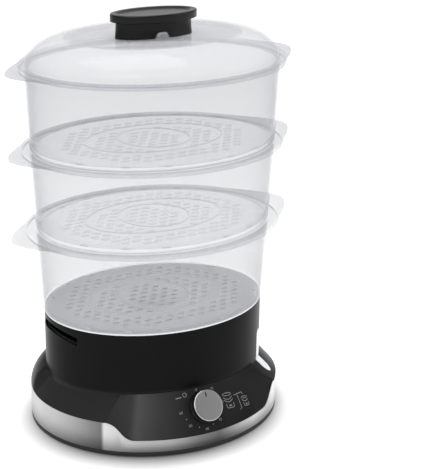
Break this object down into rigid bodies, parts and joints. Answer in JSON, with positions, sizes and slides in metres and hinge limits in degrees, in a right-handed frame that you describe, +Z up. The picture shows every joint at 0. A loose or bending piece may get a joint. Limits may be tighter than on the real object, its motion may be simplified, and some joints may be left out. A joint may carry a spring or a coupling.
{
  "type": "electric food steamer",
  "caption": "Oval electric food steamer: a base with a water tank and a timer dial, clear stacking bowls with side grips, and a domed lid with a handle.",
  "frame": {"origin": "middle of the footprint, on the table under the rubber feet", "axes": "+Z up, -Y towards the front with the dial, X along the oval's long axis with +X on the viewer's right when facing the dial"},
  "size_m": [0.3128, 0.243, 0.4218],
  "materials": {
    "gloss_black": "high gloss",
    "brushed_steel": "brushed along the band",
    "panel_black": "gloss, slightly lighter than the body",
    "black_plastic": "matte",
    "rubber": "matte",
    "zinc_steel": "zinc plated",
    "tank_grey": "satin, dark grey",
    "tray_clear": "clear, faintly milky",
    "clear_plastic": "clear",
    "stainless": "pressed sheet",
    "element_steel": "oxidised",
    "timer_grey": "moulded",
    "bell_chrome": "plated",
    "knob_black": "gloss",
    "silver": "spun satin",
    "wire_brown": "insulation",
    "wire_blue": "insulation",
    "wire_white": "insulation",
    "grey_plastic": "matte",
    "bowl_clear": "clear, faintly blue",
    "lid_clear": "clear, faintly blue"
  },
  "bodies": {
    "base": {"base_housing": "gloss_black", "steel_band": "brushed_steel", "control_panel": "panel_black", "bottom_cover": "black_plastic", "rubber_feet": "rubber", "bottom_screws": "zinc_steel", "water_tank": "tank_grey", "level_gauge": "clear_plastic", "heater_plate": "stainless", "heater_gasket": "rubber", "clamp_ring": "zinc_steel", "heater_screws": "zinc_steel", "heating_element": "element_steel", "thermostat": "element_steel", "thermal_fuse": "wire_white", "timer_case": "timer_grey", "timer_bell": "bell_chrome", "timer_screws": "zinc_steel", "cord_gland": "black_plastic", "terminal_block": "wire_white", "supply_wire": "wire_brown", "timer_wire": "wire_brown", "thermostat_wire": "wire_white", "fuse_wire": "wire_white", "neutral_wire": "wire_blue"},
    "dial": {"timer_shaft": "zinc_steel", "dial_knob": "knob_black", "dial_face": "silver"},
    "steam_ring": {"steam_ring": "grey_plastic"},
    "drip_tray": {"drip_tray": "tray_clear"},
    "bowl_1": {"bowl_1": "bowl_clear"},
    "bowl_2": {"bowl_2": "bowl_clear"},
    "bowl_3": {"bowl_3": "bowl_clear"},
    "lid": {"lid": "lid_clear", "handle_neck": "knob_black", "handle_cap": "knob_black", "handle_screws": "zinc_steel"}
  },
  "joints": [
    {"name": "timer_dial_turn", "type": "hinge", "parent": "base", "child": "dial", "pos_m": [0, -0.10415, 0.04], "axis": [0, 0.8321, -0.5547], "range_deg": [0, 300]},
    {"name": "steam_ring_lift", "type": "slide", "parent": "base", "child": "steam_ring", "axis": [0, 0, 1], "range_m": [0, 0.05]},
    {"name": "drip_tray_lift", "type": "slide", "parent": "steam_ring", "child": "drip_tray", "axis": [0, 0, 1], "range_m": [0, 0.06]},
    {"name": "bowl_1_lift", "type": "slide", "parent": "drip_tray", "child": "bowl_1", "axis": [0, 0, 1], "range_m": [0, 0.1]},
    {"name": "bowl_2_lift", "type": "slide", "parent": "bowl_1", "child": "bowl_2", "axis": [0, 0, 1], "range_m": [0, 0.1]},
    {"name": "bowl_3_lift", "type": "slide", "parent": "bowl_2", "child": "bowl_3", "axis": [0, 0, 1], "range_m": [0, 0.1]},
    {"name": "lid_lift", "type": "slide", "parent": "bowl_3", "child": "lid", "axis": [0, 0, 1], "range_m": [0, 0.12]}
  ]
}
